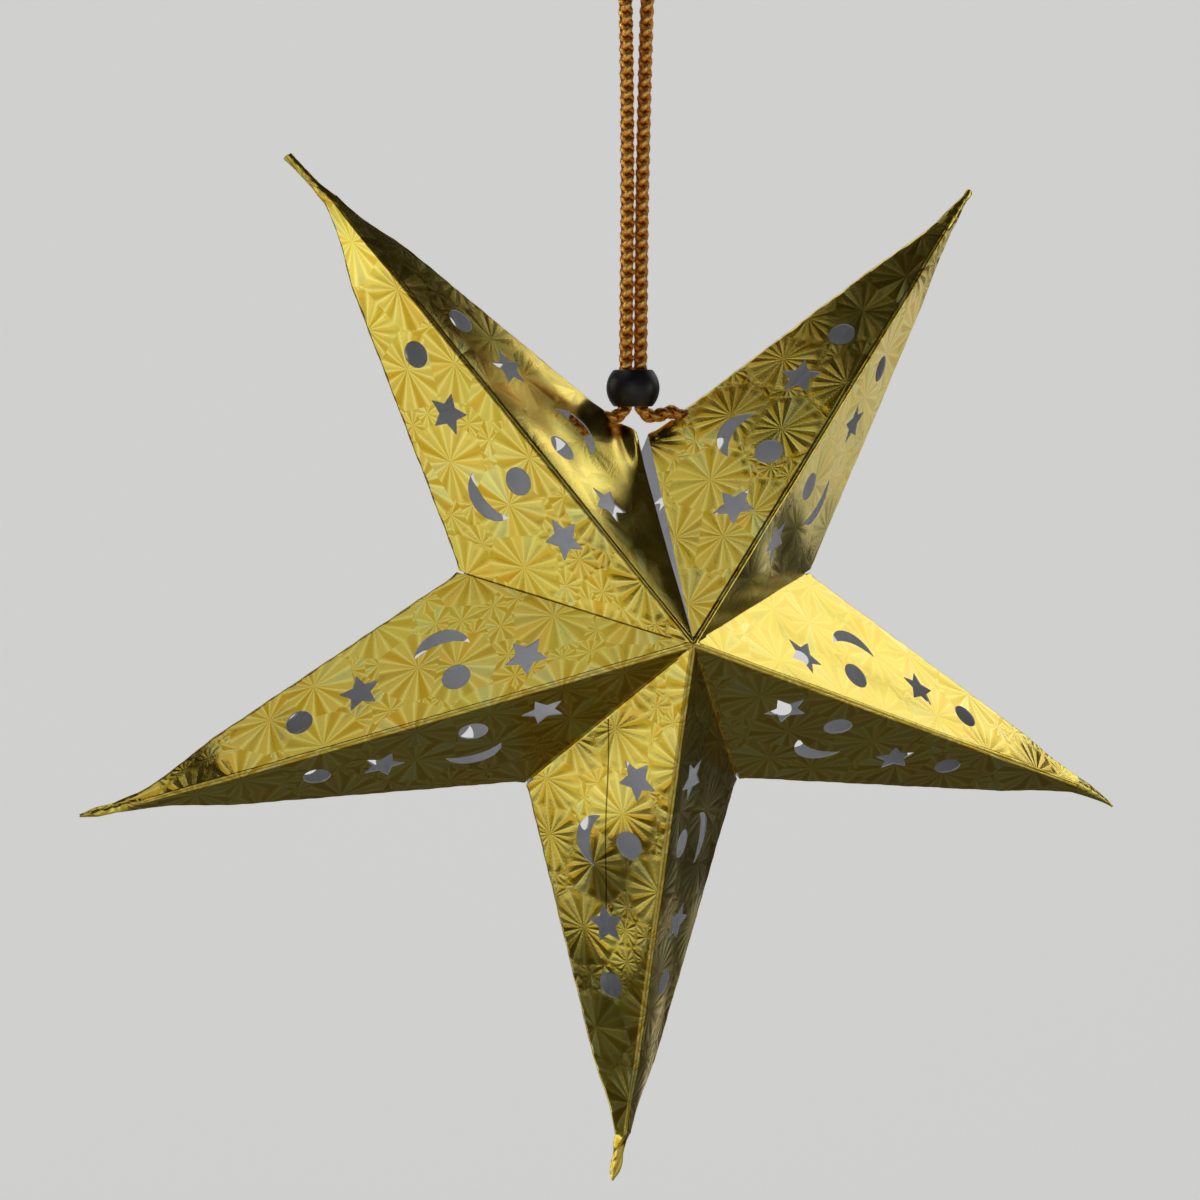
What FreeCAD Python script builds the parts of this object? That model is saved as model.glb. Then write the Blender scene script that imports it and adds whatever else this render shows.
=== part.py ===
"""Folding five-point paper star lantern, punched and hung by a doubled cord through a bead.

Frame: millimetres, +Z up, front of the star towards -Y. The origin is where a hook carries the
cord's loop. Each arm is one sheet of foil card, folded to four faces, with glue tabs that lie
inside the next arm. A sheet is folded in a frame of its own, with the arm along +X and the
star's middle at the origin, and its placement turns it about Y into the hanging star.
"""
import FreeCAD, Part
import Sketcher
import math
import os
from FreeCAD import Placement, Rotation, Vector

os.makedirs("parts", exist_ok=True)

SIZES = {
    # the folded star
    "tip_radius": (150.0, "star's middle to where an arm's four faces would meet"),
    "valley_radius": (50.7, "star's middle to the corner between two arms"),
    "half_depth": (49.5, "star's middle plane to its front or back point"),
    "seam_opening": (3.8, "gap between the two end sheets at the top corner"),
    "hang_tilt": (1.6, "degrees that the star hangs turned clockwise, seen from the front"),
    "hanging_drop": (205.0, "hook's bearing point down to the star's middle"),
    # the card
    "card_thickness": (0.4, "foil card"),
    "ridge_press": (0.75, "how deep the front and back creases are pressed flat"),
    "rim_press": (0.5, "how deep the outer creases are pressed flat"),
    # glue tabs along the corners between arms
    "tab_width": (7.0, "tab from the corner's fold to its free edge"),
    "tab_start": (6.6, "star's front point to where the tab begins"),
    "tab_stop": (2.5, "end of the tab's fold short of the outer corner"),
    "tab_slant": (6.0, "how far the tab's ends slant in across its width"),
    "ridge_tab_width": (4.2, "tab inside the back crease"),
    "ridge_tab_inset": (16.0, "back tab's ends short of the back point and of the tail"),
    "step_upper_right": (1.2, "strip of tab showing beside the upper right sheet's edge"),
    "step_right": (0.7, "the same beside the right sheet"),
    "step_bottom": (0.8, "the same beside the bottom sheet"),
    "step_left": (0.6, "the same beside the left sheet"),
    # punched shapes, along the crease from the front point and away from it
    "inner_star_along": (41.5, "star nearest the front point"),
    "inner_star_away": (11.3, "the same, away from the crease"),
    "inner_star_reach": (5.9, "the same, middle to a point"),
    "inner_star_turn": (-82.0, "the same, degrees from the crease's way to a point"),
    "outer_star_along": (85.0, "star nearest the tip"),
    "outer_star_away": (15.0, "the same, away from the crease"),
    "outer_star_reach": (5.7, "the same, middle to a point"),
    "outer_star_turn": (14.0, "the same, degrees from the crease's way to a point"),
    "star_waist": (0.49, "inner corners' share of a punched star's reach"),
    "inner_dot_along": (60.0, "dot beside the moon"),
    "inner_dot_away": (11.0, "the same, away from the crease"),
    "inner_dot_diameter": (7.6, "the same"),
    "outer_dot_along": (101.5, "dot nearest the tip"),
    "outer_dot_away": (11.0, "the same, away from the crease"),
    "outer_dot_diameter": (7.1, "the same"),
    "moon_along": (62.5, "middle of the moon's horns"),
    "moon_away": (20.5, "the same, away from the crease"),
    "moon_half_span": (7.5, "middle to each horn"),
    "moon_outer_bulge": (6.7, "horns' line to the outer curve"),
    "moon_inner_bulge": (2.5, "horns' line to the inner curve"),
    # pinched tails at the tips
    "tail_length": (13.0, "how much of each arm's end is pinched flat"),
    # bead, cord and knots
    "bead_diameter": (14.0, "locking bead"),
    "bead_lip": (0.8, "rounding of the bead's hole at both mouths"),
    "bead_height": (63.0, "bead's middle above the star's middle"),
    "bead_side": (-0.9, "bead's middle beside the hook's plumb line"),
    "cord_diameter": (3.6, "braided cord"),
    "strand_gap": (0.3, "between the two strands in the bead"),
    "bead_clearance": (0.15, "between a strand and the bead's hole"),
    "knot_diameter": (8.0, "stopper knot"),
    "knot_length": (7.0, "stopper knot along the cord"),
    "cord_hole_clearance": (0.4, "around the cord in the card"),
}

# How far tools and blocks reach, in card thicknesses.
TOOL_START = 1      # above a face, where a punch or a trim begins
PUNCH_DEPTH = 3     # from there down through the face
TRIM_DEPTH = 8      # the same for a trimmed edge, through the rim's fold as well
WALL_PAST = 8       # an arm's walls past the star's middle, where the corner knuckles need them
HOLLOW_PAST = 12    # an arm's hollow past the star's middle, beyond its walls
KNUCKLE_REACH = 4   # a knuckle past its corner's fold, at the tab's start
TAB_ROOT = 2        # a tab's root across its corner's fold
LEAST_CUT = 0.1     # the least that a block's sharp corners are cut off

STAR_POINTS = 5
TAIL_CHAMFER = 0.2  # corners cut off a tail's section, as a share of its half sizes

# Each arm: its place counted clockwise from the top seam, whether its anticlockwise edge carries
# a glue tab, and the strip of the next sheet's tab that its clockwise edge leaves showing.
ARMS = {
    "arm_sheet_upper_right": {"place": 0, "tab": False, "step": "step_upper_right"},
    "arm_sheet_right": {"place": 1, "tab": True, "step": "step_right"},
    "arm_sheet_bottom": {"place": 2, "tab": True, "step": "step_bottom"},
    "arm_sheet_left": {"place": 3, "tab": True, "step": "step_left"},
    "arm_sheet_upper_left": {"place": 4, "tab": True, "step": None},
}

# Pinched tails, as pressed by hand: distance past the root, sideways (anticlockwise) and
# backward shift, half width, half thickness and twist in degrees.
TAILS = {
    "arm_sheet_upper_right": [(4.5, 0.3, 0.0, 2.0, 1.9, 0), (9.5, 0.9, 0.0, 0.95, 0.9, 0),
                              (13.0, 1.3, 0.0, 0.85, 0.7, 0), (14.4, 1.5, 0.0, 0.5, 0.45, 0)],
    "arm_sheet_right": [(4.0, 0.0, 0.0, 2.1, 1.9, 0), (8.5, 0.1, 0.0, 1.1, 1.0, 0),
                        (12.5, 0.6, 0.0, 0.6, 0.6, 0), (14.5, 1.2, 0.0, 0.35, 0.35, 0)],
    "arm_sheet_bottom": [(2.5, -0.6, 0.0, 2.2, 1.6, 0), (6.0, -1.2, -0.4, 1.4, 0.9, 12),
                         (11.0, -1.9, -0.2, 1.2, 0.7, 20), (15.8, -2.6, 0.0, 0.7, 0.5, 10)],
    "arm_sheet_left": [(2.5, 0.0, 0.0, 1.9, 1.6, 10), (6.5, 0.3, 0.0, 1.3, 0.8, 35),
                       (11.0, 0.3, 0.0, 1.2, 0.7, 20), (15.5, 0.6, 0.0, 0.4, 0.4, 0)],
    "arm_sheet_upper_left": [(2.0, 0.5, 0.0, 1.7, 1.4, 0), (5.0, 1.0, 0.0, 1.15, 0.7, 0),
                             (11.5, 1.9, 0.0, 1.15, 0.6, 0), (15.0, 2.5, 0.0, 1.5, 0.6, 0)],
}

# The cord's two halves from the top of its loop to its knots: sideways from the plumb line,
# and height above the star's middle. They lie in the star's middle plane.
RIGHT_HALF = [(4.06, 206.8), (9.8, 201.1), (9.3, 192.5), (7.2, 184.0), (4.7, 176.5), (3.2, 168.0),
              (2.7, 157.0), (2.1, 134.6), (1.54, 112.0), (1.33, 92.0), (1.21, 78.0), (1.07, 66.5),
              (1.02, 62.2), (1.05, 58.6), (2.15, 56.3), (4.5, 55.3), (7.6, 56.3), (10.6, 57.0), (13.9, 54.6)]
LEFT_HALF = [(-4.06, 206.8), (-9.8, 201.1), (-9.4, 192.6), (-7.0, 184.2), (-4.5, 176.0), (-3.1, 167.5),
             (-2.7, 157.0), (-2.45, 134.6), (-2.4, 112.0), (-2.57, 92.0), (-2.73, 78.0), (-2.83, 66.5),
             (-2.86, 62.2), (-2.85, 58.6), (-3.9, 56.3), (-6.0, 55.3), (-8.2, 55.3), (-11.3, 54.6)]
# how many of a half's last points pass the card
HOLE_POINTS = 5
ARC_SHARE = 0.45

doc = FreeCAD.newDocument("PaperStarLantern")


def make_sheet():
    """Driving sizes as plain numbers with aliases."""
    sheet = doc.addObject("Spreadsheet::Sheet", "Sizes")
    for row, (name, (value, note)) in enumerate(SIZES.items(), start=1):
        sheet.set(f"A{row}", name)
        sheet.set(f"B{row}", str(value))
        sheet.set(f"C{row}", note)
        sheet.setAlias(f"B{row}", name)
    doc.recompute()
    return sheet


sheet = make_sheet()


def size(name):
    """A driving size, read back from the sheet."""
    return float(sheet.get(name))


class Star:
    """What follows from the star's driving sizes, in its own frame."""
    tip = size("tip_radius")
    depth = size("half_depth")
    card = size("card_thickness")
    seam_half_angle = math.asin(size("seam_opening") / 2 / size("valley_radius"))
    half_sector = (math.pi - seam_half_angle) / len(ARMS)
    valley = Vector(size("valley_radius") * math.cos(half_sector), 0,
                    size("valley_radius") * math.sin(half_sector))
    # where the outer crease would reach beside the star's middle
    breadth = valley.z * tip / (tip - valley.x)
    face_distance = 1 / math.sqrt(1 / tip ** 2 + 1 / depth ** 2 + 1 / breadth ** 2)
    root = tip - size("tail_length")
    placement = Placement(Vector(0, 0, -size("hanging_drop")),
                          Rotation(Vector(0, 1, 0), size("hang_tilt")))


class Face:
    """One of an arm's four faces, in the arm's frame with the arm along +X.

    along runs down the crease from the front or back point, away crosses the face to the outer
    corner, and out is its outward normal. front is -1 for a front face and +1 for a back one;
    side is +1 for the anticlockwise one, seen from the front.
    """

    def __init__(self, front, side):
        self.point = Vector(0, front * Star.depth, 0)
        corner = Vector(Star.valley.x, 0, side * Star.valley.z)
        self.along = (Vector(Star.tip, 0, 0) - self.point).normalize()
        to_corner = corner - self.point
        self.away = (to_corner - self.along * to_corner.dot(self.along)).normalize()
        self.out = self.along.cross(self.away)
        if self.out.dot(self.point) < 0:
            self.out = self.out * -1
        self.valley_length = to_corner.Length
        self.valley_along = to_corner.normalize()
        inward = self.along - self.valley_along * self.along.dot(self.valley_along)
        self.valley_away = inward.normalize()

    def at(self, along, away, lift=0.0):
        """A place on the face, by its crease."""
        return self.point + self.along * along + self.away * away + self.out * lift

    def at_valley(self, along, away, lift=0.0):
        """A place on the face, by its corner fold."""
        return self.point + self.valley_along * along + self.valley_away * away + self.out * lift


def prism(points, push):
    """The solid that a flat outline sweeps when it is pushed along a vector."""
    return Part.Face(Part.makePolygon(points + points[:1])).extrude(push)


def flattened(breadth, depth, rim_cut, ridge_cut):
    """Corners of a rhombus with its four points cut off, as (sideways, depthwise) pairs."""
    near_ridge = (breadth * ridge_cut / depth, depth - ridge_cut)
    near_rim = (breadth - rim_cut, depth * rim_cut / breadth)
    quarter = [near_ridge, near_rim]
    right = quarter + [(z, -y) for z, y in reversed(quarter)]
    return right + [(-z, -y) for z, y in right]


def arm_section(x, skin):
    """The arm's outline across its length at x, skin deep inside its outer faces."""
    left = 1 - x / Star.tip
    ridge_slope = math.hypot(1, Star.depth / Star.tip)
    rim_slope = math.hypot(1, Star.breadth / Star.tip)
    breadth = Star.breadth * (left - skin / Star.face_distance)
    depth = Star.depth * (left - skin / Star.face_distance)
    ridge_cut = depth - (Star.depth * left - size("ridge_press") - skin * ridge_slope)
    rim_cut = breadth - (Star.breadth * left - size("rim_press") - skin * rim_slope)
    least = LEAST_CUT * Star.card
    corners = flattened(breadth, depth, max(rim_cut, least), max(ridge_cut, least))
    return Part.makePolygon([Vector(x, y, z) for z, y in corners + corners[:1]])


def arm_block(skin, back=0.0):
    """The arm as a solid block from beside the star's middle to its tail's root."""
    return Part.makeLoft([arm_section(-back, skin), arm_section(Star.root, skin)], True, True)


def arm_hollow(skin):
    """The space inside the arm, skin deep under its faces, as a block that opens its inner end."""
    return arm_block(skin, HOLLOW_PAST * Star.card)


def sector(low, high):
    """A wedge about the star's front-back axis, between two angles from +X."""
    reach = 2 * Star.tip
    corners = [Vector(0, -Star.depth, 0)]
    corners += [Vector(reach * math.cos(a), -Star.depth, reach * math.sin(a)) for a in (low, high)]
    return prism(corners, Vector(0, 2 * Star.depth, 0))


def beyond(face, along):
    """The far side of a plane across a face's corner fold, that distance from the star's point."""
    big = 2 * Star.tip
    middle = face.at_valley(along, 0)
    corners = [middle + face.valley_away * a + face.out * b for a, b in
               ((-big, -big), (big, -big), (big, big), (-big, big))]
    return prism(corners, face.valley_along * big)


def next_arm(shape):
    """A shape of the next arm anticlockwise, seen in this arm's frame."""
    turned = shape.copy()
    turned.rotate(Vector(), Vector(0, 1, 0), -math.degrees(2 * Star.half_sector))
    return turned


def corner_tabs():
    """The card past the anticlockwise corner: the fold's knuckle, then a tab for each face.

    The tab lies one card's thickness under the next arm's outer faces.
    """
    knuckle_angle = math.atan(KNUCKLE_REACH * Star.card / size("tab_start"))
    own_inside = arm_hollow(Star.card)
    past = arm_block(0, WALL_PAST * Star.card).cut(own_inside)
    past = past.common(sector(Star.half_sector, Star.half_sector + knuckle_angle))
    past = past.cut(next_arm(arm_hollow(2 * Star.card)))
    start = size("tab_start")
    root = -TAB_ROOT * Star.card
    tabs = []
    for front in (-1, 1):
        face = Face(front, -1)
        past = past.common(beyond(Face(front, 1), start))
        stop = face.valley_length - size("tab_stop")
        slant = size("tab_slant")
        outline = [(start, root), (start + slant, size("tab_width")),
                   (stop - slant, size("tab_width")), (stop, 0), (stop, root)]
        corners = [face.at_valley(along, away, -Star.card) for along, away in outline]
        tab = next_arm(prism(corners, face.out * -Star.card))
        tabs.append(tab.cut(own_inside))
    return [past] + tabs


def back_crease_tab():
    """The strip that closes the sheet behind its back crease."""
    face = Face(1, 1)
    inset = size("ridge_tab_inset")
    reach = face.along.dot(Vector(Star.root, 0, 0) - face.point)
    fold = Star.card * Star.depth / Star.face_distance
    outline = [(inset, fold), (inset + size("ridge_tab_width"), size("ridge_tab_width")),
               (reach - inset, size("ridge_tab_width")), (reach - inset, fold)]
    corners = [face.at(along, away, -Star.card / 2) for along, away in outline]
    return prism(corners, face.out * (-1.5 * Star.card))


def edge_step(step):
    """What is trimmed off the clockwise corner, where the next sheet's tab shows.

    The cut goes deep enough to take the rim's fold with it at the outer corner.
    """
    cuts = []
    for front in (-1, 1):
        face = Face(front, -1)
        outline = [(size("tab_start"), -Star.card), (size("tab_start"), step),
                   (face.valley_length + step, step), (face.valley_length + step, -Star.card)]
        corners = [face.at_valley(along, away, TOOL_START * Star.card) for along, away in outline]
        cuts.append(prism(corners, face.out * (-TRIM_DEPTH * Star.card)))
    return cuts


def punched_star(face, along, away, reach, turn):
    """A five-point star punched through a face; turn is in degrees from the crease's way."""
    corners = []
    for step in range(2 * STAR_POINTS):
        radius = reach if step % 2 == 0 else reach * size("star_waist")
        angle = math.radians(turn) + math.pi * step / STAR_POINTS
        right = along + radius * math.cos(angle)
        up = away + radius * math.sin(angle)
        corners.append(face.at(right, up, TOOL_START * Star.card))
    return prism(corners, face.out * (-PUNCH_DEPTH * Star.card))


def punched_dot(face, along, away, diameter):
    """A round hole punched through a face."""
    start = face.at(along, away, TOOL_START * Star.card)
    return Part.makeCylinder(diameter / 2, PUNCH_DEPTH * Star.card, start, face.out * -1)


def punched_moon(face):
    """A crescent between two arcs that meet at its horns."""
    along = size("moon_along")
    away = size("moon_away")
    half = size("moon_half_span")
    lift = TOOL_START * Star.card
    first, last = [face.at(along + end * half, away, lift) for end in (-1, 1)]
    outer_top = face.at(along, away + size("moon_outer_bulge"), lift)
    inner_top = face.at(along, away + size("moon_inner_bulge"), lift)
    outer = Part.Arc(first, outer_top, last).toShape()
    inner = Part.Arc(last, inner_top, first).toShape()
    return Part.Face(Part.Wire([outer, inner])).extrude(face.out * (-PUNCH_DEPTH * Star.card))


def punches():
    """Every punched shape of one arm, the same on its four faces."""
    tools = []
    for face in [Face(front, side) for front in (-1, 1) for side in (-1, 1)]:
        for name in ("inner_star", "outer_star"):
            star = [size(f"{name}_{part}") for part in ("along", "away", "reach", "turn")]
            tools.append(punched_star(face, *star))
        for name in ("inner_dot", "outer_dot"):
            dot = [size(f"{name}_{part}") for part in ("along", "away", "diameter")]
            tools.append(punched_dot(face, *dot))
        tools.append(punched_moon(face))
    return tools


def tail(stations):
    """The pinched end of an arm, lofted through its stations from the arm's own section."""
    sections = [arm_section(Star.root, 0)]
    for past, aside, behind, half_width, half_thick, twist in stations:
        corners = flattened(half_width, half_thick, TAIL_CHAMFER * half_width, TAIL_CHAMFER * half_thick)
        turn = Rotation(Vector(1, 0, 0), twist)
        middle = Vector(Star.root + past, behind, aside)
        places = [middle + turn.multVec(Vector(0, y, z)) for z, y in corners + corners[:1]]
        sections.append(Part.makePolygon(places))
    return Part.makeLoft(sections, True, True)


def arm_angle(place):
    """Degrees from +X to an arm's middle, anticlockwise seen from the front."""
    return 90 - math.degrees(Star.seam_half_angle + (2 * place + 1) * Star.half_sector)


def arm_placement(place):
    """Turns an arm from +X to its place in the hanging star."""
    return Star.placement * Placement(Vector(), Rotation(Vector(0, 1, 0), -arm_angle(place)))


def fold_arm(arm, stations, tools, tabs):
    """One arm's sheet in its own frame, before the cord's hole is punched."""
    walls = arm_block(0).cut(arm_hollow(Star.card))
    walls = walls.common(sector(-Star.half_sector, Star.half_sector))
    if arm["step"]:
        walls = walls.cut(edge_step(size(arm["step"])))
    walls = walls.fuse([back_crease_tab(), tail(stations)] + (tabs if arm["tab"] else []))
    return walls.cut(tools).removeSplitter()


def in_row(half):
    """A half of the cord's route in the row's frame."""
    return [Vector(x, 0, height - size("hanging_drop")) for x, height in half]


def rounded_path(points):
    """Straight runs joined by tangent arcs, and the arcs' radii."""
    edges = []
    radii = []
    start = points[0]
    for before, here, after in zip(points, points[1:], points[2:]):
        run_in = here - before
        run_out = after - here
        half_turn = run_in.getAngle(run_out) / 2
        trim = ARC_SHARE * min(run_in.Length, run_out.Length)
        radius = trim / math.tan(half_turn)
        arc_in = here - run_in.normalize() * trim
        arc_out = here + run_out.normalize() * trim
        inward = (arc_in + arc_out - here * 2).normalize()
        middle = here + inward * radius * (1 / math.cos(half_turn) - 1)
        edges.append(Part.LineSegment(start, arc_in).toShape())
        edges.append(Part.Arc(arc_in, middle, arc_out).toShape())
        radii.append(radius)
        start = arc_out
    edges.append(Part.LineSegment(start, points[-1]).toShape())
    return Part.Wire(edges), radii


def add_feature(name, shape, placement):
    """A sub-part whose form no parametric feature fits."""
    feature = doc.addObject("Part::Feature", name)
    feature.Label = name
    feature.Shape = shape
    feature.Placement = placement
    return feature


def tube_along(points, radius):
    """A round tube along a rounded path; returns the tube, the path and the arcs' radii."""
    path, radii = rounded_path(points)
    ring = Part.Wire(Part.makeCircle(radius, points[0], points[1] - points[0]))
    return path.makePipeShell([ring], True, False), path, radii


def cord_hole(place, half):
    """The cord's passage through a sheet, in the arm's frame: the cord's own path, a little wider."""
    inverse = arm_placement(place).inverse()
    points = [inverse.multVec(point) for point in in_row(half)[-HOLE_POINTS:]]
    return tube_along(points, size("cord_diameter") / 2 + size("cord_hole_clearance"))[0]


def add_cord():
    """The doubled cord: one tube from the right knot over the loop to the left knot."""
    points = list(reversed(in_row(RIGHT_HALF))) + in_row(LEFT_HALF)
    radius = size("cord_diameter") / 2
    tube, path, radii = tube_along(points, radius)
    ratio = tube.Volume / (math.pi * radius ** 2 * path.Length)
    print("cord: length", round(path.Length, 1), "volume ratio", round(ratio, 5))
    print("cord radii:", [round(r, 1) for r in radii])
    return add_feature("hanging_cord", tube, Placement())


def origin_plane(body, role):
    """One of a body's own origin planes or axes."""
    return next(item for item in body.Origin.OriginFeatures if item.Role == role)


def add_bead():
    """The bead: a ball with a rounded hole for both strands."""
    body = doc.addObject("PartDesign::Body", "locking_bead")
    body.Label = "locking_bead"
    ball = body.newObject("PartDesign::AdditiveSphere", "BeadBall")
    ball.setExpression("Radius", "Sizes.bead_diameter / 2")
    bore = body.newObject("PartDesign::SubtractiveCylinder", "BeadBore")
    bore.setExpression("Radius", "Sizes.strand_gap / 2 + Sizes.cord_diameter + Sizes.bead_clearance")
    bore.setExpression("Height", "2 * Sizes.bead_diameter")
    bore.setExpression("AttachmentOffset.Base.z", "-Sizes.bead_diameter")
    bore.AttachmentSupport = (origin_plane(body, "XY_Plane"), [""])
    bore.MapMode = "FlatFace"
    doc.recompute()
    mouths = [f"Edge{i}" for i, edge in enumerate(bore.Shape.Edges, start=1)
              if isinstance(edge.Curve, Part.Circle) and abs(edge.Curve.Radius - bore.Radius.Value) < 1e-6]
    lips = body.newObject("PartDesign::Fillet", "BeadLips")
    lips.Base = (bore, mouths)
    lips.setExpression("Radius", "Sizes.bead_lip")
    body.Tip = lips
    middle = Vector(size("bead_side"), 0, size("bead_height") - size("hanging_drop"))
    body.Placement = Placement(middle, Rotation())
    return body


def add_knot(name, half):
    """A stopper knot: a barrel turned about the cord's last run, from the cord's end onward."""
    body = doc.addObject("PartDesign::Body", name)
    body.Label = name
    sketch = body.newObject("Sketcher::SketchObject", name + "_profile")
    sketch.AttachmentSupport = (origin_plane(body, "XZ_Plane"), [""])
    sketch.MapMode = "FlatFace"
    neck = size("cord_diameter") / 2
    bulge = size("knot_diameter") / 2
    long = size("knot_length")
    corners = [Vector(0, 0, 0), Vector(neck, 0, 0), Vector(neck, long, 0), Vector(0, long, 0)]
    sketch.addGeometry(Part.LineSegment(corners[0], corners[1]), False)
    sketch.addGeometry(Part.Arc(corners[1], Vector(bulge, long / 2, 0), corners[2]), False)
    sketch.addGeometry(Part.LineSegment(corners[2], corners[3]), False)
    sketch.addGeometry(Part.LineSegment(corners[3], corners[0]), False)
    add_knot_constraints(sketch)
    turned = body.newObject("PartDesign::Revolution", name + "_barrel")
    turned.Profile = sketch
    turned.ReferenceAxis = (sketch, ["V_Axis"])
    turned.Angle = 360
    body.Tip = turned
    last_but_one, last = in_row(half)[-2:]
    body.Placement = Placement(last, Rotation(Vector(0, 0, 1), last - last_but_one))
    return body


def add_knot_constraints(sketch):
    """Ties the barrel's profile to the sheet: neck, length and bulge."""
    bottom, side, top, axis = range(4)
    start, end = 1, 2
    origin, point = -1, 1
    upper_side = end if sketch.Geometry[side].EndPoint.y > sketch.Geometry[side].StartPoint.y else start
    lower_side = start if upper_side == end else end
    meetings = [(bottom, end, side, lower_side), (side, upper_side, top, start),
                (top, end, axis, start), (axis, end, bottom, start), (bottom, start, origin, point)]
    for meeting in meetings:
        sketch.addConstraint(Sketcher.Constraint("Coincident", *meeting))
    sketch.addConstraint(Sketcher.Constraint("Horizontal", bottom))
    sketch.addConstraint(Sketcher.Constraint("Horizontal", top))
    sketch.addConstraint(Sketcher.Constraint("Vertical", axis))
    sketch.addConstraint(Sketcher.Constraint("Equal", bottom, top))
    neck = size("cord_diameter") / 2
    rise = size("knot_diameter") / 2 - neck
    long = size("knot_length")
    sketch.addConstraint(Sketcher.Constraint("DistanceX", bottom, start, bottom, end, neck))
    sketch.renameConstraint(sketch.ConstraintCount - 1, "neck")
    sketch.addConstraint(Sketcher.Constraint("DistanceY", bottom, start, top, end, long))
    sketch.renameConstraint(sketch.ConstraintCount - 1, "long")
    sketch.addConstraint(Sketcher.Constraint("Radius", side, (long ** 2 / 4 + rise ** 2) / (2 * rise)))
    sketch.renameConstraint(sketch.ConstraintCount - 1, "bulge")
    rise_text = "(Sizes.knot_diameter - Sizes.cord_diameter) / 2"
    sketch.setExpression("Constraints.neck", "Sizes.cord_diameter / 2")
    sketch.setExpression("Constraints.long", "Sizes.knot_length")
    sketch.setExpression("Constraints.bulge",
                         f"(Sizes.knot_length ^ 2 / 4 + ({rise_text}) ^ 2) / (2 * {rise_text})")


def add_arms():
    """The five folded sheets; the two beside the seam also get the cord's hole."""
    holes = {
        "arm_sheet_upper_right": cord_hole(ARMS["arm_sheet_upper_right"]["place"], RIGHT_HALF),
        "arm_sheet_upper_left": cord_hole(ARMS["arm_sheet_upper_left"]["place"], LEFT_HALF),
    }
    tools = punches()
    tabs = corner_tabs()
    sheets = []
    for name, arm in ARMS.items():
        shape = fold_arm(arm, TAILS[name], tools, tabs)
        if name in holes:
            shape = shape.cut(holes[name])
        sheets.append(add_feature(name, shape, arm_placement(arm["place"])))
    return sheets


nodes = add_arms()
nodes += [add_bead(), add_cord()]
nodes += [add_knot("cord_knot_right", RIGHT_HALF), add_knot("cord_knot_left", LEFT_HALF)]
doc.recompute()

for item in doc.Objects:
    if {"Invalid", "Error"} & set(item.State):
        raise RuntimeError(f"{item.Name} failed: {item.State}")
for node in nodes:
    if node.Shape.isNull() or not node.Shape.isValid():
        raise RuntimeError(f"{node.Label} has no valid shape")
for node in nodes:
    node.Shape.exportStep(f"parts/{node.Label}.step")
    print(node.Label, "solids", len(node.Shape.Solids), "volume", round(node.Shape.Volume, 1))
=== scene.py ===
"""Folding paper star lantern of punched gold foil card, hung by a doubled braided cord.

Lengths in this file are millimetres until a mesh is made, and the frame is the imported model's:
+Z up, the star's front towards -Y, the cord's loop at the origin. Each arm is worked out along
+X and then turned about Y to its place.
"""
import math

import bmesh
import bpy
import numpy as np
from mathutils import Matrix, Vector
from mathutils.geometry import delaunay_2d_cdt


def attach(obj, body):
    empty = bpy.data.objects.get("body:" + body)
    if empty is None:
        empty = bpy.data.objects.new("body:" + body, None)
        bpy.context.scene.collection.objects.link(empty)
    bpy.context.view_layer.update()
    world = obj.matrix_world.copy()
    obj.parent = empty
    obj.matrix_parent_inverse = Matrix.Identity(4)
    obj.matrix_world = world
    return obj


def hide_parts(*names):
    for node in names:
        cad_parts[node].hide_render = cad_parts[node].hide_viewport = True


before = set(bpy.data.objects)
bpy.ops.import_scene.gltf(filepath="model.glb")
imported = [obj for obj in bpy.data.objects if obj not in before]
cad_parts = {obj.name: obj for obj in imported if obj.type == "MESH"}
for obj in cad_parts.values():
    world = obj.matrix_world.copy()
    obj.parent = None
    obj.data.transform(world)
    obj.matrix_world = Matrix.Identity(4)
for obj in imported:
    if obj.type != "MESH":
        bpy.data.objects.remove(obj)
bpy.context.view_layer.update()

MM = 0.001

# the folded star
TIP = 150.0  # its middle to where an arm's four faces would meet
DEPTH = 49.5  # its middle plane to its front or back point
VALLEY_RADIUS = 50.7  # its middle to the corner between two arms
SEAM_OPENING = 3.8
HANG_TILT = 1.6  # degrees clockwise
DROP = 205.0  # hook down to the star's middle
CARD = 0.4
RIDGE_PRESS = 0.79  # how deep a front or back crease is pressed
RIM_PRESS = 0.5
PRESS_ROUNDING = 0.06
DENT_DEPTH = 0.10  # of the fine groove down it
DENT_WIDTH = 0.16
PINCH_START = 114.0  # along the arm, where it begins to narrow
TAIL_ROOT = 137.0  # along the arm, where its pinched tail begins
TAB_WIDTH = 7.0
TAB_START = 6.6  # past the front point
TAB_STOP = 2.5  # short of the outer corner
TAB_SLANT = 6.0  # of its ends
GLUE_GAP = 0.05

# the cord, its bead and its knots
CORD_WIDTH = 3.6
BRAID_WIDTH = 1.08 * CORD_WIDTH
CORD_HOLE_CLEARANCE = 0.4
CORD_SPACING = 0.45  # between the points read from its line
STITCH = 3.2
BEAD_RADIUS = 7.0
BEAD_BORE = 3.9
BEAD_LIP = 0.8
BEAD_PLACE = (-0.9, 0.0, 63.0 - DROP)
KNOT_RADIUS = 4.0
KNOT_LENGTH = 7.0
KNOT_WIDTH = 0.8 * CORD_WIDTH
KNOT_INSET = 0.42 * CORD_WIDTH  # its outside to the middle of its cord
KNOT_STITCH = 2.2

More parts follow.
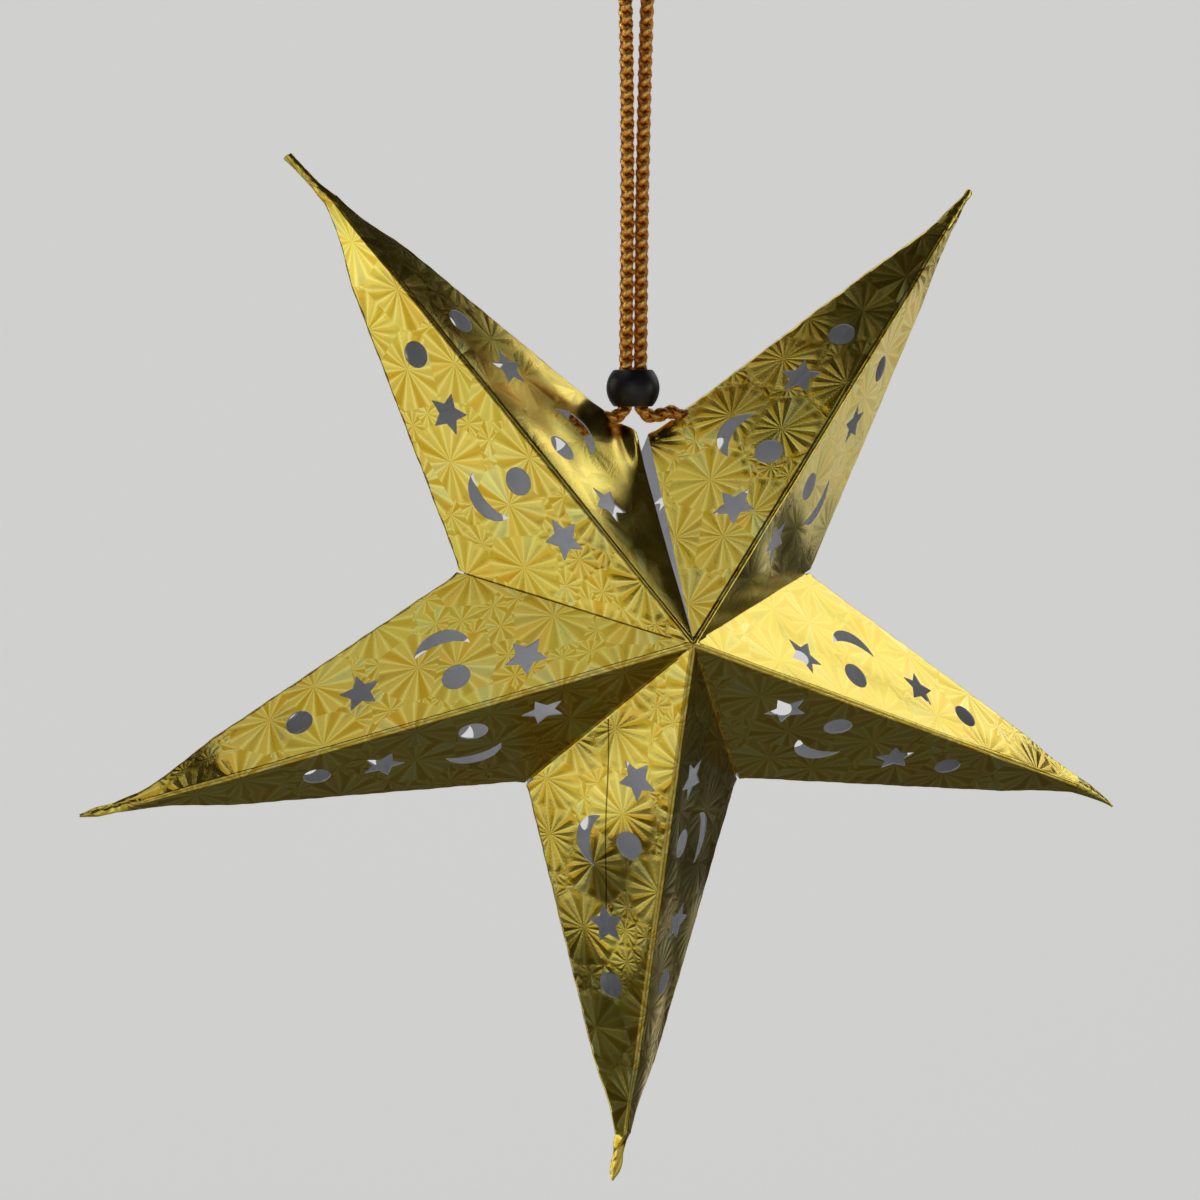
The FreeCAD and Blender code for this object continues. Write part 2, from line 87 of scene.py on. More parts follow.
# The cord's two halves from the top of its loop to its knots: sideways from the plumb line and
# height above the star's middle.
RIGHT_HALF = [(4.06, 206.8), (9.8, 201.1), (9.3, 192.5), (7.2, 184.0), (4.7, 176.5), (3.2, 168.0),
              (2.7, 157.0), (2.1, 134.6), (1.54, 112.0), (1.33, 92.0), (1.21, 78.0), (1.07, 66.5),
              (1.02, 62.2), (1.05, 58.6), (2.15, 56.3), (4.5, 55.3), (7.6, 56.3), (10.6, 57.0),
              (13.9, 54.6)]
LEFT_HALF = [(-4.06, 206.8), (-9.8, 201.1), (-9.4, 192.6), (-7.0, 184.2), (-4.5, 176.0),
             (-3.1, 167.5), (-2.7, 157.0), (-2.45, 134.6), (-2.4, 112.0), (-2.57, 92.0),
             (-2.73, 78.0), (-2.83, 66.5), (-2.86, 62.2), (-2.85, 58.6), (-3.9, 56.3),
             (-6.0, 55.3), (-8.2, 55.3), (-11.3, 54.6)]


def circle(count):
    """Even angles round."""
    return np.linspace(0.0, 2 * np.pi, count, endpoint=False)


def unit(vectors):
    """Vectors scaled to length one."""
    vectors = np.asarray(vectors, dtype=float)
    return vectors / np.linalg.norm(vectors, axis=-1, keepdims=True)


# ---- camera

def place_camera():
    """To the left of the star's front, a little above its middle, looking slightly down."""
    data = bpy.data.cameras.new("camera")
    data.sensor_width = 36.0
    data.lens = 76.4
    data.clip_start = 0.01
    camera = bpy.data.objects.new("camera", data)
    bpy.context.scene.collection.objects.link(camera)
    ahead = Vector((0.2741, 0.9581, -0.0835)).normalized()
    right = ahead.cross(Vector((0.0243, 0.0799, 0.9965))).normalized()
    up = right.cross(ahead)
    turn = Matrix((right, up, -ahead)).transposed().to_4x4()
    camera.matrix_world = Matrix.Translation((-0.1941, -0.6435, -0.1416)) @ turn
    bpy.context.scene.camera = camera


place_camera()


# ---- meshes

def grid_faces(rows, columns):
    """Quads of a tube whose rings are rows of a grid, each ring closed on itself."""
    row, column = np.meshgrid(np.arange(rows - 1), np.arange(columns), indexing="ij")
    here = row * columns + column
    beside = row * columns + (column + 1) % columns
    return np.stack([here, beside, beside + columns, here + columns], axis=-1).reshape(-1, 4)


def closed_tube(rings):
    """Points and faces of a tube through rings of points, its ends closed by a flat face."""
    rows, columns = rings.shape[:2]
    faces = grid_faces(rows, columns).tolist()
    faces.append(list(range(columns))[::-1])
    faces.append(list(range((rows - 1) * columns, rows * columns)))
    return rings.reshape(-1, 3), faces


def joined(parts):
    """Several sets of points and faces as one."""
    points, faces, start = [], [], 0
    for part_points, part_faces in parts:
        points.append(part_points)
        faces += [[start + corner for corner in face] for face in part_faces]
        start += len(part_points)
    return np.concatenate(points), faces


def outward(mesh):
    """Turns a closed mesh right side out: its signed volume comes out positive."""
    mesh.calc_loop_triangles()
    places = np.empty(len(mesh.vertices) * 3)
    mesh.vertices.foreach_get("co", places)
    corners = np.empty(len(mesh.loop_triangles) * 3, dtype=int)
    mesh.loop_triangles.foreach_get("vertices", corners)
    a, b, c = places.reshape(-1, 3)[corners.reshape(-1, 3)].transpose(1, 0, 2)
    if np.einsum("ij,ij->i", a, np.cross(b, c)).sum() < 0:
        mesh.flip_normals()


def add_piece(name, points, faces, materials, closed=True):
    """A mesh object from points in millimetres, smooth shaded, at the origin."""
    mesh = bpy.data.meshes.new(name)
    mesh.from_pydata((np.asarray(points) * MM).tolist(), [], faces)
    if closed:
        outward(mesh)
    mesh.shade_smooth()
    for material in materials:
        mesh.materials.append(material)
    piece = bpy.data.objects.new(name, mesh)
    bpy.context.scene.collection.objects.link(piece)
    return piece


# ---- materials

class Mix:
    """The nodes of a material or of a world, joined by short calls. A value is a number, a colour
    or a socket."""

    def __init__(self, name, shader="Principled BSDF", kind="materials"):
        self.owner = getattr(bpy.data, kind).new(name)
        self.owner.use_nodes = True
        self.tree = self.owner.node_tree
        self.shader = self.tree.nodes[shader]

    def fill(self, socket, value):
        """Sets a socket, or joins another one to it."""
        if isinstance(value, bpy.types.NodeSocket):
            self.tree.links.new(value, socket)
        elif value is not None:
            socket.default_value = value

    def node(self, kind, values=(), **settings):
        """A node with its settings, and its inputs filled in order or by name."""
        made = self.tree.nodes.new("ShaderNode" + kind)
        for key, setting in settings.items():
            setattr(made, key, setting)
        pairs = values.items() if isinstance(values, dict) else enumerate(values)
        for key, value in pairs:
            self.fill(made.inputs[key], value)
        return made

    def math(self, operation, *values):
        """One arithmetic step."""
        return self.node("Math", values, operation=operation).outputs[0]

    def times(self, first, second):
        """Two numbers multiplied."""
        return self.math("MULTIPLY", first, second)

    def plus(self, first, second):
        """Two numbers added."""
        return self.math("ADD", first, second)

    def vector(self, operation, *values):
        """One vector step; its vector result."""
        return self.node("VectorMath", values, operation=operation).outputs[0]

    def scaled(self, vector, factor):
        """A vector times a number."""
        return self.node("VectorMath", {0: vector, "Scale": factor}, operation="SCALE").outputs[0]

    def blend(self, share, first, second):
        """A colour between two, by a share from 0 to 1."""
        values = {0: share, 6: first, 7: second}
        return self.node("Mix", values, data_type="RGBA", clamp_factor=True).outputs[2]

    def ramp(self, value, low, high, start=0.0, end=1.0):
        """A number carried from one range to another and held at its ends, smoothly."""
        names = {"Value": value, "From Min": low, "From Max": high, "To Min": start, "To Max": end}
        return self.node("MapRange", names, interpolation_type="SMOOTHSTEP").outputs[0]

    def near(self, value, middle, reach, most):
        """A number at its most where a value is at its middle, fading to 0 a reach away."""
        off = self.math("ABSOLUTE", self.math("SUBTRACT", value, middle))
        return self.ramp(off, 0.0, reach, most, 0.0)

    def mixed(self, share, first, second):
        """A number between two, by a share from 0 to 1."""
        return self.node("Mix", {0: share, 2: first, 3: second}).outputs[0]

    def noise(self, vector, scale, detail, roughness=0.5):
        """Soft noise between 0 and 1."""
        names = {"Vector": vector, "Scale": scale, "Detail": detail, "Roughness": roughness}
        return self.node("TexNoise", names).outputs[0]

    def measure(self, name):
        """A number kept on the piece's points."""
        return self.node("Attribute", attribute_name=name).outputs["Fac"]

    def own_place(self):
        """The place on the piece, in millimetres."""
        return self.scaled(self.node("TexCoord").outputs["Object"], 1.0 / MM)

    def raised(self, height, distance, strength):
        """The surface's direction where a height is embossed on it, 1 being the distance in metres."""
        names = {"Strength": strength, "Distance": distance, "Height": height}
        return self.node("Bump", names).outputs[0]

    def finish(self, **values):
        """Fills the shader's sockets; underscores stand for spaces."""
        for key, value in values.items():
            self.fill(self.shader.inputs[key.replace("_", " ")], value)
        return self.owner


def colour(red, green, blue):
    """A colour as a socket takes it."""
    return (red, green, blue, 1.0)


# The foil's bursts, in millimetres on the flat sheet: cell spacing, rays and how far middles stray.
UV_SCALE = 0.01
LARGE_BURST = (20.0, 16, 0.6)
SMALL_BURST = (7.8, 12, 0.5)
POLYGON_SIDES = 7
POLYGON_REACH = 10.3
RAY_SLOPE = 0.036
BORDER_FADE = 0.14  # in cell spacings

# The foil's colours. The rays run between the deep and the pale gold by a random tone and by painted light
# and shade; the glints are painted reflections; the crease band and the groove colours are painted shade.
DEEP_GOLD = colour(0.60, 0.38, 0.018)
PALE_GOLD = colour(1.0, 0.86, 0.21)
GREEN_CLOUD = colour(0.76, 0.74, 0.12)
GREEN_GLINT = colour(0.78, 1.0, 0.45)
ORANGE_GLINT = colour(0.95, 0.50, 0.05)
# Painted shade with some wear, for the band along the creases and rims.
CREASE_SHADE_AND_WEAR = colour(0.42, 0.25, 0.04)
# Painted shade in the creases' groove.
PAINTED_GROOVE_SHADE = colour(0.12, 0.07, 0.02)
SPLICE_BROWN = colour(0.10, 0.06, 0.02)


def burst(mix, place, spacing, rays, randomness):
    """Rays from the middle of each cell of a Voronoi pattern.

    The angle about the cell's middle, turned by its own colour, is cut into rays. Each has its own
    number, and rises from its edges to its middle by the same slope everywhere, less at the cell's
    border. Returns the ray's number, its turn, by which every other ray is painted lighter and the
    rest darker as painted light and shade, how far off its edge a place lies, its rise, and the
    angle and the distance from the middle.
    """
    small = mix.scaled(place, 1.0 / spacing)
    values = {"Vector": small, "Scale": 1.0, "Randomness": randomness}
    cells = mix.node("TexVoronoi", values, voronoi_dimensions="2D")
    edges = mix.node("TexVoronoi", values, voronoi_dimensions="2D", feature="DISTANCE_TO_EDGE")
    middle = mix.vector("SUBTRACT", small, cells.outputs["Position"])
    own = mix.node("SeparateColor", [cells.outputs["Color"]])
    twist = {"Vector": middle, "Angle": mix.times(own.outputs[0], 2 * math.pi)}
    turned_place = mix.node("VectorRotate", twist, rotation_type="Z_AXIS").outputs[0]
    x, y, _ = mix.node("SeparateXYZ", [turned_place]).outputs
    angle = mix.math("ARCTAN2", y, x)
    turns = mix.times(angle, rays / (2 * math.pi))
    ray = mix.math("FLOOR", turns)
    ray_seed = mix.node("CombineXYZ", [ray, ray, 0.0]).outputs[0]
    seed = mix.vector("ADD", cells.outputs["Color"], ray_seed)
    number = mix.node("TexWhiteNoise", [seed], noise_dimensions="3D").outputs["Value"]
    # Every other ray, by turns: the share by which the rays are painted lighter and darker, painted light and
    # shade for how each ray's grooves catch the lamps.
    turn = mix.math("PINGPONG", ray, 1.0)
    off_edge = mix.math("PINGPONG", mix.math("SUBTRACT", turns, ray), 0.5)
    reach = mix.times(cells.outputs["Distance"], spacing)
    slope = mix.times(reach, RAY_SLOPE * 2 * math.pi / rays)
    fade = mix.ramp(edges.outputs["Distance"], 0.0, BORDER_FADE)
    rise = mix.times(mix.times(off_edge, slope), fade)
    return number, turn, off_edge, rise, angle, reach


def embossing(mix, place):
    """Large bursts in polygons and small bursts between them, as a burst's first four values. A
    place's reach in its polygon is measured square to the nearest side, and both rises are nothing
    on its outline."""
    large = burst(mix, place, *LARGE_BURST)
    small = burst(mix, place, *SMALL_BURST)
    angle, reach = large[4:]
    off_side = mix.math("WRAP", angle, math.pi / POLYGON_SIDES, -math.pi / POLYGON_SIDES)
    square_reach = mix.times(reach, mix.math("COSINE", off_side))
    in_large = mix.ramp(square_reach, POLYGON_REACH - 0.1, POLYGON_REACH + 0.2, 1.0, 0.0)
    looks = [mix.mixed(in_large, few, many) for few, many in zip(small[:3], large[:3])]
    large_share = mix.ramp(square_reach, 8.4, POLYGON_REACH, 1.0, 0.0)
    small_share = mix.ramp(square_reach, POLYGON_REACH, 11.2)
    rise = mix.plus(mix.times(large[3], large_share), mix.times(small[3], small_share))
    return *looks, rise


def ray_gold(mix, place, number, turn, off_edge, worn):
    """The gold of each ray: painted light and shade by its turn, a random tone by its number and a
    pale painted highlight along its edges, evener where worn, with green clouds and a few painted
    green or orange glints."""
    # A pale painted highlight along each ray's edges.
    painted_edge_highlight = mix.ramp(off_edge, 0.0, 0.3, 0.5, 0.0)
    # Rays painted lighter and darker by turns as painted light and shade, plus a random tone by each ray's
    # number.
    tone = mix.plus(mix.times(turn, 0.3), mix.times(number, 0.2))
    tone = mix.mixed(worn, mix.plus(tone, painted_edge_highlight), 0.55)
    gold = mix.blend(tone, DEEP_GOLD, PALE_GOLD)
    cloud = mix.ramp(mix.noise(place, 0.05, 2.0), 0.42, 0.72)
    gold = mix.blend(mix.times(cloud, 0.3), gold, GREEN_CLOUD)
    # Painted green and orange glints, the foil's rainbow reflections.
    gold = mix.blend(mix.near(number, 0.86, 0.06, 0.3), gold, GREEN_GLINT)
    return mix.blend(mix.near(number, 0.2, 0.07, 0.3), gold, ORANGE_GLINT)


def film_splice(mix, place, gold):
    """A thin dark line where two lengths of the foil's film meet, nearly along the bottom arm."""
    here = mix.vector("SUBTRACT", place, (*UV_STEP * ARMS["bottom"]["place"], 0.0))
    along, away, _ = mix.node("SeparateXYZ", [here]).outputs
    slant, start = -0.118, 25.3
    line = mix.plus(mix.times(along, slant), start)
    off = mix.math("ABSOLUTE", mix.plus(away, line))
    mark = mix.ramp(off, 0.12, 0.34, 0.85, 0.0)
    ends = mix.ramp(along, 82.0, 90.0, 1.0, 0.0)
    return mix.blend(mix.times(mark, ends), gold, SPLICE_BROWN)


def foil(name, splice=False):
    """Gold foil embossed with bursts, flatter where it is worn. Along its creases a patchy darker band
    is painted, shade of the rounded folds with some wear, and along the front and back ones a dark
    groove of painted shade."""
    mix = Mix(name)
    place = mix.scaled(mix.node("UVMap", uv_map="flat").outputs[0], 1.0 / UV_SCALE)
    number, turn, off_edge, rise = embossing(mix, place)
    worn = mix.measure("worn")
    gold = ray_gold(mix, place, number, turn, off_edge, worn)
    from_ridge = mix.measure("from_ridge")
    from_rim = mix.times(mix.measure("from_rim"), 1.3)
    crease = mix.ramp(mix.math("MINIMUM", from_ridge, from_rim), 0.7, 1.2, 1.0, 0.0)
    patchy = mix.ramp(mix.noise(place, 0.6, 3.0), 0.35, 0.65, 0.0, 0.45)
    # A patchy darker band along the creases and rims: painted shade of the rounded folds, patchy as wear.
    gold = mix.blend(mix.times(crease, patchy), gold, CREASE_SHADE_AND_WEAR)
    # Painted shade down the fine dent along the front and back creases.
    groove_shade = mix.ramp(from_ridge, 0.06, 0.24, 0.6, 0.0)
    gold = mix.blend(groove_shade, gold, PAINTED_GROOVE_SHADE)
    if splice:
        gold = film_splice(mix, place, gold)
    roughness = mix.plus(mix.plus(mix.times(number, 0.10), 0.14), mix.times(crease, 0.10))
    rise = mix.times(rise, mix.math("SUBTRACT", 1.0, worn))
    grain = mix.times(mix.noise(place, 1.6, 3.0), 0.02)
    height = mix.plus(rise, grain)
    return mix.finish(Base_Color=gold, Metallic=1.0, Roughness=roughness,
                      Normal=mix.raised(height, 0.001, 1.0))


def white_card():
    """Uncoated card: off white, with faint fibres and a matt surface."""
    mix = Mix("white_card")
    place = mix.own_place()
    fibres = mix.noise(place, 0.9, 4.0, 0.65)
    paper = mix.blend(fibres, colour(0.80, 0.81, 0.84), colour(0.88, 0.89, 0.91))
    return mix.finish(Base_Color=paper, Roughness=0.85,
                      Normal=mix.raised(mix.noise(place, 3.0, 3.0), 0.00005, 0.6))


def braided_gold():
    """Metallic yarn: amber sides, painted shade in its red-brown hollows and painted pale yellow
    highlights on its crowns, with fine threads.
    """
    mix = Mix("braided_gold_yarn")
    place = mix.own_place()
    crown = mix.measure("crown")
    fine = mix.noise(place, 2.6, 3.0)
    # Painted shade in the hollows, the yarn's own amber on its sides, and painted pale highlights specked on
    # its crowns.
    hollow_shade, amber, crown_highlight = colour(0.18, 0.024, 0.003), colour(0.60, 0.17, 0.012), colour(1.0, 0.58, 0.12)
    gold = mix.blend(mix.ramp(crown, 0.12, 0.6), hollow_shade, amber)
    highlight_share = mix.times(mix.ramp(crown, 0.55, 0.95), mix.ramp(fine, 0.3, 0.55))
    gold = mix.blend(highlight_share, gold, crown_highlight)
    waves = {"Vector": place, "Scale": 1.6, "Distortion": 3.0, "Detail": 2.0}
    threads = mix.node("TexWave", waves).outputs["Fac"]
    height = mix.plus(mix.times(threads, 0.06), mix.times(fine, 0.06))
    return mix.finish(Base_Color=gold, Metallic=0.9, Roughness=0.26,
                      Normal=mix.raised(height, 0.001, 0.8))


def satin_black():
    """Black painted wood or resin with a soft sheen and faint scuffs."""
    mix = Mix("satin_black")
    place = mix.own_place()
    scuffs = mix.ramp(mix.noise(place, 0.55, 5.0, 0.7), 0.55, 0.8)
    black = mix.blend(scuffs, colour(0.008, 0.008, 0.009), colour(0.022, 0.021, 0.021))
    roughness = mix.ramp(mix.noise(place, 0.35, 3.0), 0.3, 0.7, 0.36, 0.5)
    return mix.finish(Base_Color=black, Roughness=roughness, Specular_IOR_Level=0.5,
                      Normal=mix.raised(mix.noise(place, 1.8, 3.0), 0.00006, 0.7))


def studio_paper():
    """The stage's pale matt paper, with the faintest mottling. Behind the star, and far out to its
    front and left, it glows evenly for the eye and in reflections, and lights nothing."""
    mix = Mix("studio_paper")
    place = mix.node("TexCoord").outputs["Object"]
    tone = mix.blend(mix.noise(place, 3.0, 3.0), colour(0.70, 0.70, 0.69), colour(0.74, 0.74, 0.73))
    x, y, _ = mix.node("SeparateXYZ", [place]).outputs
    back_glow, far_glow, back_middle = 0.58, 0.4, 0.85
    aside = mix.math("ABSOLUTE", mix.math("SUBTRACT", x, back_middle))
    behind = mix.times(mix.ramp(y, 1.5, 2.2), mix.ramp(aside, 1.1, 2.0, back_glow, 0.0))
    far_out = mix.math("MAXIMUM", mix.ramp(y, -1.5, -0.1, far_glow, 0.0),
                       mix.ramp(x, -4.4, -3.2, far_glow, 0.0))
    rays = mix.node("LightPath").outputs
    seen = mix.math("MAXIMUM", rays["Is Camera Ray"], rays["Is Glossy Ray"])
    seen = mix.math("MAXIMUM", seen, rays["Is Transmission Ray"])
    glow = mix.times(mix.math("MAXIMUM", behind, far_out), seen)
    return mix.finish(Base_Color=tone, Roughness=0.9, Emission_Color=colour(1.0, 1.0, 0.99),
                      Emission_Strength=glow)


# ---- cord

def in_row(half):
    """Half of the cord's route in the row's frame."""
    return np.array([(x, 0.0, height - DROP) for x, height in half])


def smooth_line(name, points):
    """An open NURBS curve with the points as its control points."""
    curve = bpy.data.curves.new(name, "CURVE")
    curve.dimensions = "3D"
    spline = curve.splines.new("NURBS")
    spline.points.add(len(points) - 1)
    spline.points.foreach_set("co", np.column_stack([points * MM, np.ones(len(points))]).ravel())
    spline.order_u = 3
    spline.use_endpoint_u = True
    spline.resolution_u = 16
    return bpy.data.objects.new(name, curve)


def run_along(line):
    """How far along a line each of its points lies."""
    return np.concatenate([[0.0], np.cumsum(np.linalg.norm(np.diff(line, axis=0), axis=1))])


def read_line(curve, spacing):
    """Points read from a curve with no bevel, even distances apart, in millimetres."""
    mesh = bpy.data.meshes.new_from_object(curve)
    places = np.empty(len(mesh.vertices) * 3)
    mesh.vertices.foreach_get("co", places)
    places = places.reshape(-1, 3) / MM
    run = run_along(places)
    even = np.linspace(0.0, run[-1], int(run[-1] / spacing) + 1)
    return np.stack([np.interp(even, run, places[:, axis]) for axis in range(3)], axis=1)


def braid(line, reference, width, stitch):
    """Four plump yarns plaited round a line, over a core.

    Two turn one way round the line and two the other, one turn in two stitches. A yarn's distance
    from the line rises and falls as a cosine, once a stitch, the two pairs by turns, so that each
    passes over and under the others. Its section is a flat-lying ellipse. Returns points, faces
    and how high each point stands.
    """
    run = run_along(line)
    ahead = unit(np.gradient(line, axis=0))
    side = unit(reference - (ahead @ reference)[:, None] * ahead)
    across = np.cross(ahead, side)
    radius, swing = 0.265 * width, 0.04 * width
    half_width, half_thick = 0.29 * width, 0.205 * width
    section = circle(10)
    c, s = np.cos(section)[:, None], np.sin(section)[:, None]
    parts, crowns = [], []
    for way in (1, -1):
        for start in (0.0, np.pi):
            angle = way * np.pi * run / stitch + start
            lift = way * np.cos(2 * np.pi * run / stitch)
            off = np.cos(angle)[:, None] * side + np.sin(angle)[:, None] * across
            middle = line + (radius + swing * lift)[:, None] * off
            breadth = unit(np.cross(unit(np.gradient(middle, axis=0)), off))
            rings = middle[:, None] + half_width * c * breadth[:, None] + half_thick * s * off[:, None]
            parts.append(closed_tube(rings))
            # How high a point stands, its yarn's outer side higher: the material paints shade by it in the
            # hollows and highlights on the crowns.
            crowns.append((0.5 + 0.3 * lift[:, None] + 0.2 * np.sin(section)).ravel())
    core = line[:, None] + radius * (c * side[:, None] + s * across[:, None])
    parts.append(closed_tube(core))
    # The core stands lowest, so it is painted in the hollows' shade.
    crowns.append(np.zeros(len(core) * len(section)))
    points, faces = joined(parts)
    return points, faces, np.concatenate(crowns)


def add_braid(name, line, reference, width, stitch, material):
    """A braid as a piece, with how high each point stands kept for its material."""
    points, faces, crowns = braid(line, reference, width, stitch)
    piece = add_piece(name, points, faces, [material])
    piece.data.attributes.new("crown", "FLOAT", "POINT").data.foreach_set("value", crowns)
    return piece


def knot_line(end, way):
    """A trefoil drawn tight, its axis along the cord's last run.

    Sideways it goes sine t + 2 sine 2t and cosine t - 2 cosine 2t, and along minus sine 3t, scaled
    to the knot's size.
    """
    turn = np.linspace(0.0, 2 * np.pi, 120)
    sideways = unit(np.cross(way, (0.0, 1.0, 0.0)))
    upright = np.cross(way, sideways)
    spread = (KNOT_RADIUS - KNOT_INSET) / 3.0
    long = KNOT_LENGTH / 2 - KNOT_INSET
    return (end + way * KNOT_LENGTH / 2
            + spread * (np.sin(turn) + 2 * np.sin(2 * turn))[:, None] * sideways
            + spread * (np.cos(turn) - 2 * np.cos(2 * turn))[:, None] * upright
            - long * np.sin(3 * turn)[:, None] * way)


yarn = braided_gold()
route = np.concatenate([in_row(RIGHT_HALF)[::-1], in_row(LEFT_HALF)])
cord_line = read_line(smooth_line("cord_route", route), CORD_SPACING)
cord = add_braid("gold_cord", cord_line, np.array([0.0, 1.0, 0.0]), BRAID_WIDTH, STITCH, yarn)
for side_name, half in (("right", RIGHT_HALF), ("left", LEFT_HALF)):
    before, end = in_row(half)[-2:]
    way = unit(end - before)
    knot = add_braid(f"gold_knot_{side_name}", knot_line(end, way), way, KNOT_WIDTH, KNOT_STITCH, yarn)
    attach(knot, "root")
    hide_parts(f"cord_knot_{side_name}")


def turned_bead():
    """A ball with a rounded hole, its profile carried round an upright axis: the ball's arc, then
    the lip's, whose middle is a lip's radius outside the bore and inside the ball, then the bore's
    straight wall, and the lip's again, mirrored."""
    lip_out = BEAD_BORE + BEAD_LIP
    lip_up = math.sqrt((BEAD_RADIUS - BEAD_LIP) ** 2 - lip_out ** 2)
    meet = math.atan2(lip_up, lip_out)
    ball = np.linspace(-meet, meet, 40)
    lip = np.linspace(meet, math.pi, 14)[1:]
    wall = np.linspace(lip_up, -lip_up, 10)[1:-1]
    lip_x, lip_z = lip_out + BEAD_LIP * np.cos(lip), lip_up + BEAD_LIP * np.sin(lip)
    out = np.concatenate([BEAD_RADIUS * np.cos(ball), lip_x, np.full(len(wall), BEAD_BORE), lip_x[::-1]])
    up = np.concatenate([BEAD_RADIUS * np.sin(ball), lip_z, wall, -lip_z[::-1]])
    turn = circle(96)
    rings = np.stack([np.cos(turn)[:, None] * out, np.sin(turn)[:, None] * out,
                      np.repeat(up[None], len(turn), axis=0)], axis=-1)
    rows, columns = rings.shape[:2]
    faces = grid_faces(rows + 1, columns) % (rows * columns)
    return rings.reshape(-1, 3) + np.array(BEAD_PLACE), faces.tolist()


bead = add_piece("black_bead", *turned_bead(), [satin_black()])
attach(bead, "root")
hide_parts("locking_bead")

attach(cord, "root")
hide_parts("hanging_cord")


# ---- folded sheets

SEAM = math.asin(SEAM_OPENING / 2 / VALLEY_RADIUS)
HALF_SECTOR = (math.pi - SEAM) / 5
VALLEY = np.array([VALLEY_RADIUS * math.cos(HALF_SECTOR), 0.0, VALLEY_RADIUS * math.sin(HALF_SECTOR)])


class Face:
    """One of an arm's four faces, front -1 or back 1, clockwise -1 or anticlockwise 1."""

    def __init__(self, front, side):
        self.front = front
        self.point = np.array([0.0, front * DEPTH, 0.0])
        to_tip = np.array([TIP, 0.0, 0.0]) - self.point
        self.corner = VALLEY * (1, 1, side)
        to_corner = self.corner - self.point
        self.along = unit(to_tip)
        self.away = unit(to_corner - self.along * (to_corner @ self.along))
        self.out = np.cross(self.along, self.away)
        self.flip = self.out @ self.point < 0
        if self.flip:
            self.out = -self.out
        self.rim_out = unit(np.cross((TIP, 0.0, 0.0) - self.corner, (0.0, side, 0.0)))
        self.corner_along = unit(to_corner)
        self.corner_away = unit(self.along - self.corner_along * (self.along @ self.corner_along))


FRONT = Face(-1, 1)
TIP_FLAT = np.array([np.linalg.norm([TIP, DEPTH]), 0.0])
CORNER_FLAT = np.array([(VALLEY - FRONT.point) @ FRONT.along, (VALLEY - FRONT.point) @ FRONT.away])
CORNER_LENGTH = np.linalg.norm(CORNER_FLAT)
CORNER_WAY = CORNER_FLAT / CORNER_LENGTH
CORNER_IN = np.array([CORNER_WAY[1], -CORNER_WAY[0]])
RIM_WAY = unit(TIP_FLAT - CORNER_FLAT)
RIM_IN = np.array([RIM_WAY[1], -RIM_WAY[0]])
ROOT_SHARE = TAIL_ROOT / TIP
ROOT_RIDGE = TIP_FLAT * ROOT_SHARE
ROOT_RIM = CORNER_FLAT + (TIP_FLAT - CORNER_FLAT) * (TAIL_ROOT - VALLEY[0]) / (TIP - VALLEY[0])
ROOT_STEPS = 4


def rim_inward(flat):
    """How far in from the rim flat points lie."""
    return (flat - CORNER_FLAT) @ RIM_IN


def in_corner(along, inward):
    """A flat place from its distance along the corner fold and inward from it."""
    return CORNER_WAY * along + CORNER_IN * inward


def divided(points, spacing):
    """A line through points, with more points so that they stand at most a spacing apart."""
    parts = [np.linspace(a, b, max(1, math.ceil(np.linalg.norm(b - a) / spacing)), endpoint=False)
             for a, b in zip(points, points[1:])]
    return np.concatenate(parts + [np.array(points[-1:])])


def even(start, end, count):
    """A straight line of evenly spaced points."""
    return np.linspace(start, end, count + 1)


def star_outline(along, away, reach, turn):
    """A punched five-point star with slightly blunt points."""
    waist, point, shoulder, shoulder_turn = 0.49, 0.99, 0.955, 0.035
    corners = []
    for step in range(10):
        angle = math.radians(turn + 36 * step)
        if step % 2:
            corners.append((waist * reach, angle))
        else:
            corners += [(shoulder * reach, angle - shoulder_turn), (point * reach, angle),
                        (shoulder * reach, angle + shoulder_turn)]
    corners.append(corners[0])
    places = [np.array([along + r * math.cos(a), away + r * math.sin(a)]) for r, a in corners]
    return divided(places, 0.8)[:-1]


def dot_outline(along, away, diameter):
    """A punched round hole."""
    turn = circle(30)
    return np.stack([along + diameter / 2 * np.cos(turn), away + diameter / 2 * np.sin(turn)], axis=1)


def moon_outline(along, away, half_span, outer, inner):
    """A crescent between two arcs that meet at its horns, each given by its bulge."""
    def arc(bulge, start, end):
        radius = (half_span ** 2 + bulge ** 2) / (2 * bulge)
        half_angle = math.asin(half_span / radius)
        turn = np.linspace(start * half_angle, end * half_angle, 18)
        return np.stack([along + radius * np.sin(turn),
                         away + bulge - radius + radius * np.cos(turn)], axis=1)
    return np.concatenate([arc(outer, -1, 1)[:-1], arc(inner, 1, -1)[:-1]])


# The shapes punched in every face: their place along the crease and away from it, and sizes.
PUNCHES = [star_outline(41.5, 11.3, 5.9, -82), star_outline(85.0, 15.0, 5.7, 14),
           dot_outline(60.0, 11.0, 7.6), dot_outline(101.5, 11.0, 7.1),
           moon_outline(62.5, 20.5, 7.5, 6.7, 2.5)]


def inside(points, outline):
    """Which points lie in a closed outline, by the number of its sides they look across."""
    x, y = points[:, 0, None], points[:, 1, None]
    ax, ay = outline.T
    bx, by = np.roll(outline, -1, axis=0).T
    rise = np.where(by == ay, 1e-12, by - ay)
    crosses = ((ay > y) != (by > y)) & (x < (bx - ax) * (y - ay) / rise + ax)
    return crosses.sum(axis=1) % 2 == 1


